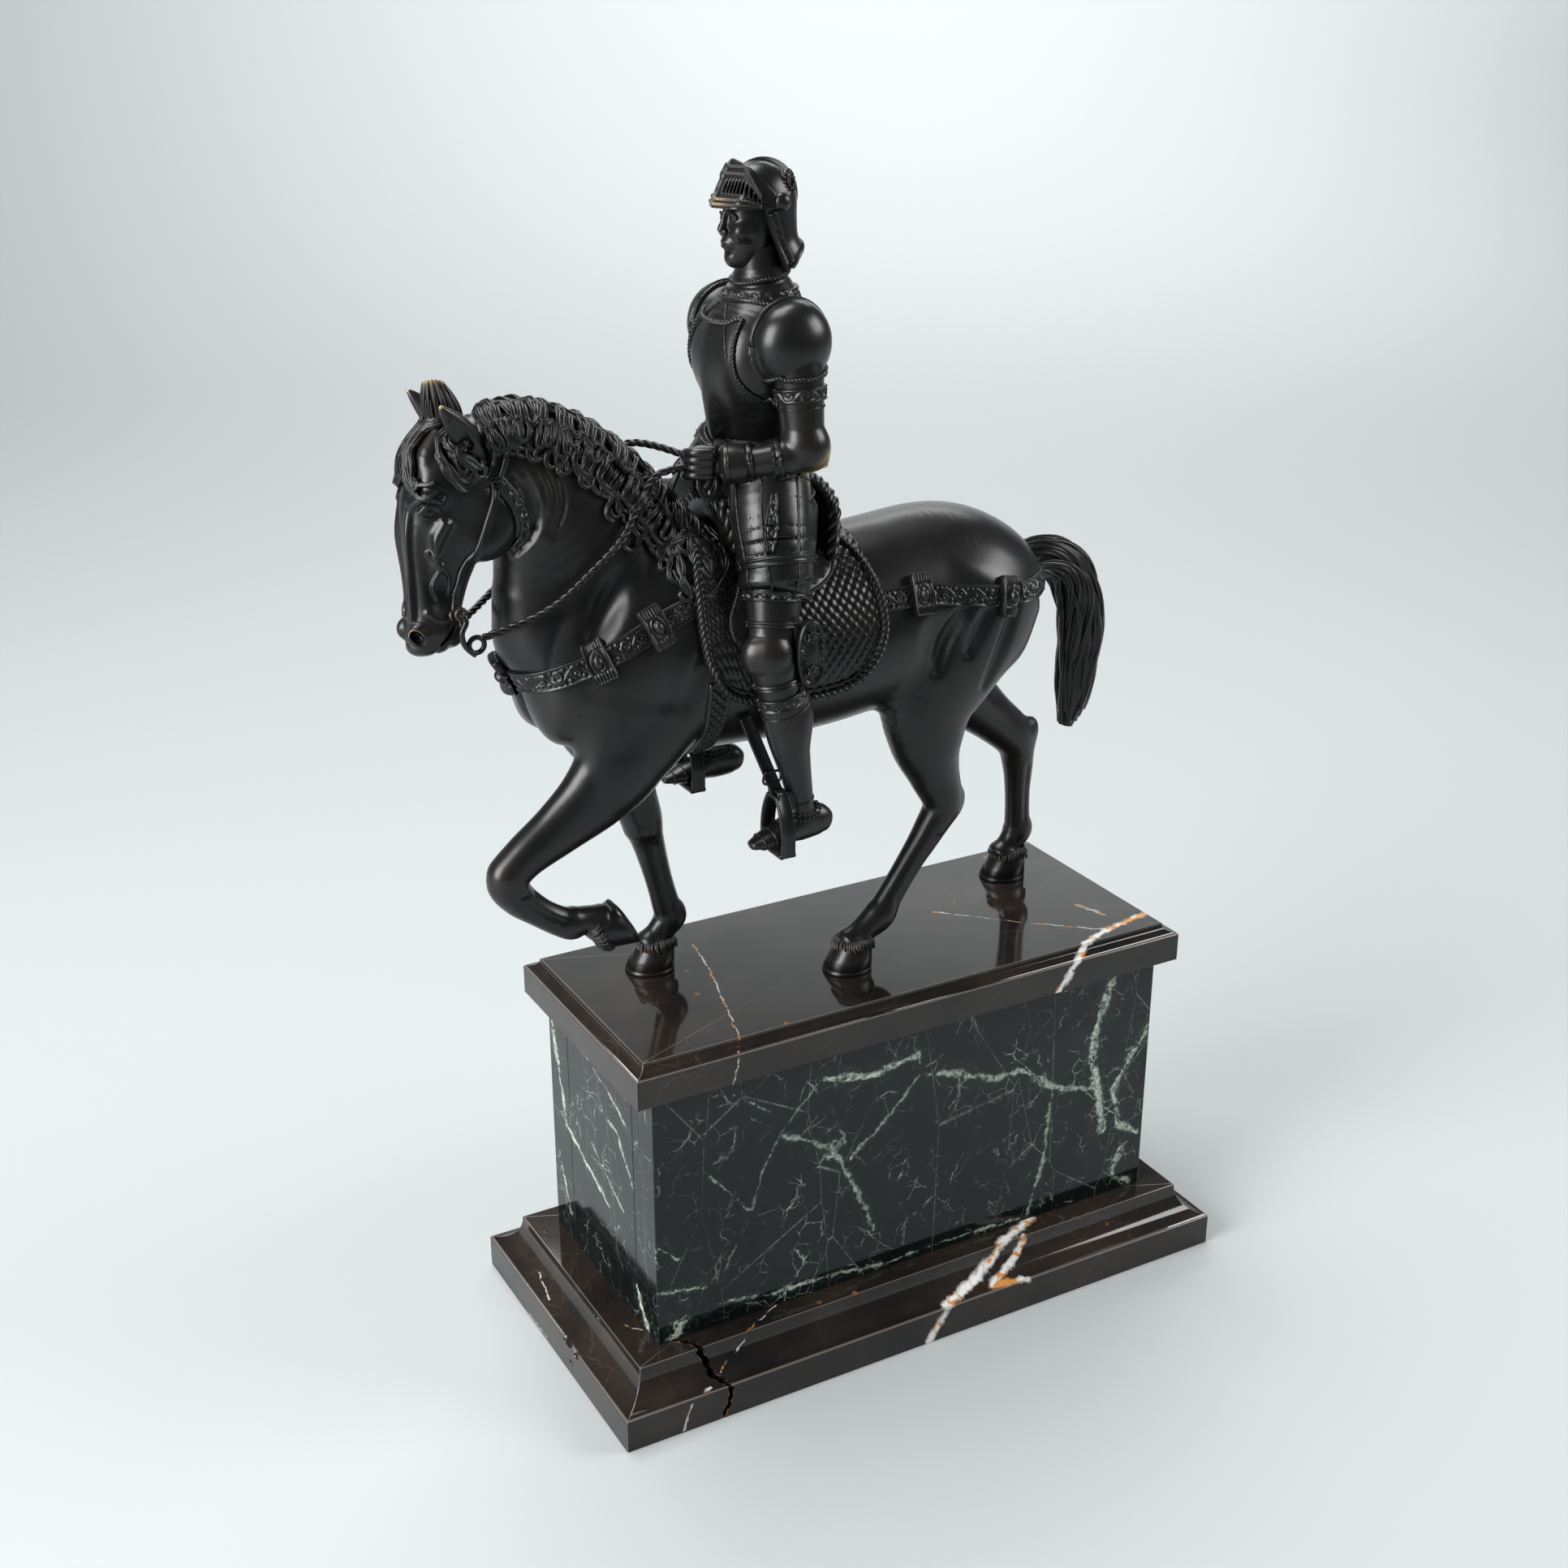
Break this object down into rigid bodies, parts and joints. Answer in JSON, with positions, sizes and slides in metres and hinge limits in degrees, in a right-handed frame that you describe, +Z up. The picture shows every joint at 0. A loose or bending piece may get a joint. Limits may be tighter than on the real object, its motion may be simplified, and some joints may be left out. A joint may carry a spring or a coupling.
{
  "type": "equestrian statuette",
  "caption": "Bronze statuette of an armoured rider on a walking horse, one foreleg raised, on a moulded plinth of black and green marble.",
  "frame": {"origin": "centre of the plinth's underside", "axes": "-X the way the horse walks, -Y towards the horse's left side, +Z up"},
  "size_m": [0.3812, 0.164, 0.5454],
  "materials": {
    "bronze": "dark brown to black patina, satin to polished, with worn golden edges",
    "black_marble": "polished, brown-black with white and orange veins",
    "green_marble": "polished, green-black with a net of white and pale green veins"
  },
  "bodies": {
    "root": {"plinth_base": "black_marble", "plinth_front_panel": "green_marble", "plinth_back_panel": "green_marble", "plinth_left_end": "green_marble", "plinth_right_end": "green_marble", "plinth_top": "black_marble", "horse": "bronze", "tail": "bronze", "rider": "bronze", "stirrup_left": "bronze", "bit_left": "bronze", "rein_left": "bronze", "stirrup_right": "bronze", "bit_right": "bronze", "rein_right": "bronze"}
  },
  "joints": []
}
